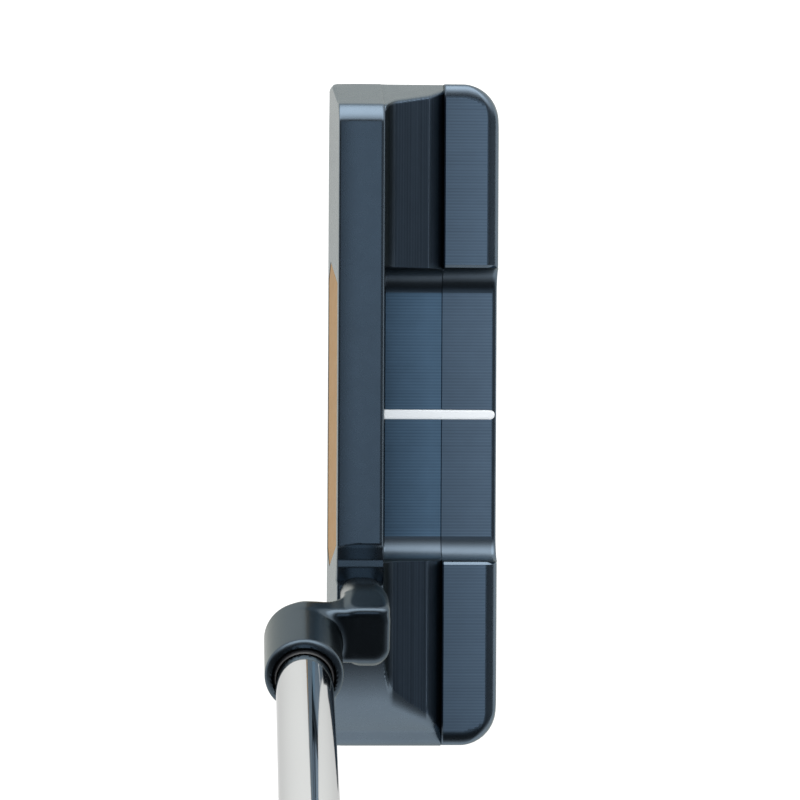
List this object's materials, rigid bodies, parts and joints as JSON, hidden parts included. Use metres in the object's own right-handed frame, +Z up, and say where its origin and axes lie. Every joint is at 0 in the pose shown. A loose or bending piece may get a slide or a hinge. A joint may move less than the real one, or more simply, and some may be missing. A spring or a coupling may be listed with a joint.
{
  "type": "putter",
  "caption": "Milled wide-blade putter with a crank neck, bronze face insert, one alignment line, steel shaft, pistol grip and two screw-in sole weights.",
  "frame": {"origin": "centre of the flat sole pad on the ground, straight under the alignment line", "axes": "+Z up, +Y from heel to toe, -X is the way the face looks; the shaft leans towards -Y"},
  "size_m": [0.0487, 0.3968, 0.8388],
  "materials": {
    "navy_steel": "satin navy coating on milled stainless steel",
    "bronze_face": "bronze-coloured anodised face plate, fine milling",
    "pale_elastomer": "moulded elastomer, satin",
    "black_adhesive": "cured film",
    "white_paint": "paint fill",
    "weight_steel": "turned steel, dark coating",
    "seal_rubber": "black rubber",
    "black_epoxy": "cured black epoxy",
    "chrome_tube": "bright chrome plate",
    "plug_plastic": "moulded plastic",
    "band_film": "plain navy film",
    "tape_paper": "double-sided paper tape",
    "core_rubber": "foamed rubber",
    "grip_skin": "textured polyurethane skin",
    "cap_rubber": "moulded rubber"
  },
  "bodies": {
    "club": {"head_body": "navy_steel", "face_insert": "bronze_face", "insert_backer": "pale_elastomer", "insert_bond": "black_adhesive", "alignment_line": "white_paint", "hosel_epoxy": "black_epoxy", "shaft": "chrome_tube", "shaft_tip_plug": "plug_plastic", "shaft_band": "band_film", "grip_tape": "tape_paper", "grip_core": "core_rubber", "grip_cover": "grip_skin", "grip_cap": "cap_rubber"},
    "toe_seal_body": {"toe_weight_seal": "seal_rubber"},
    "toe_weight_body": {"toe_weight": "weight_steel"},
    "heel_seal_body": {"heel_weight_seal": "seal_rubber"},
    "heel_weight_body": {"heel_weight": "weight_steel"}
  },
  "joints": [
    {"name": "toe_weight_travel", "type": "slide", "parent": "club", "child": "toe_seal_body", "axis": [0, 0, -1], "range_m": [0, 0.005]},
    {"name": "toe_weight_turn", "type": "hinge", "parent": "toe_seal_body", "child": "toe_weight_body", "pos_m": [0, 0.038, 0], "axis": [0, 0, -1], "range_deg": [0, 1800]},
    {"name": "heel_weight_travel", "type": "slide", "parent": "club", "child": "heel_seal_body", "axis": [0, 0, -1], "range_m": [0, 0.005]},
    {"name": "heel_weight_turn", "type": "hinge", "parent": "heel_seal_body", "child": "heel_weight_body", "pos_m": [0, -0.038, 0], "axis": [0, 0, -1], "range_deg": [0, 1800]}
  ],
  "couplings": [
    {"joint": "toe_weight_turn", "follows": "toe_weight_travel", "rad_per_m": 6283.2},
    {"joint": "heel_weight_turn", "follows": "heel_weight_travel", "rad_per_m": 6283.2}
  ]
}
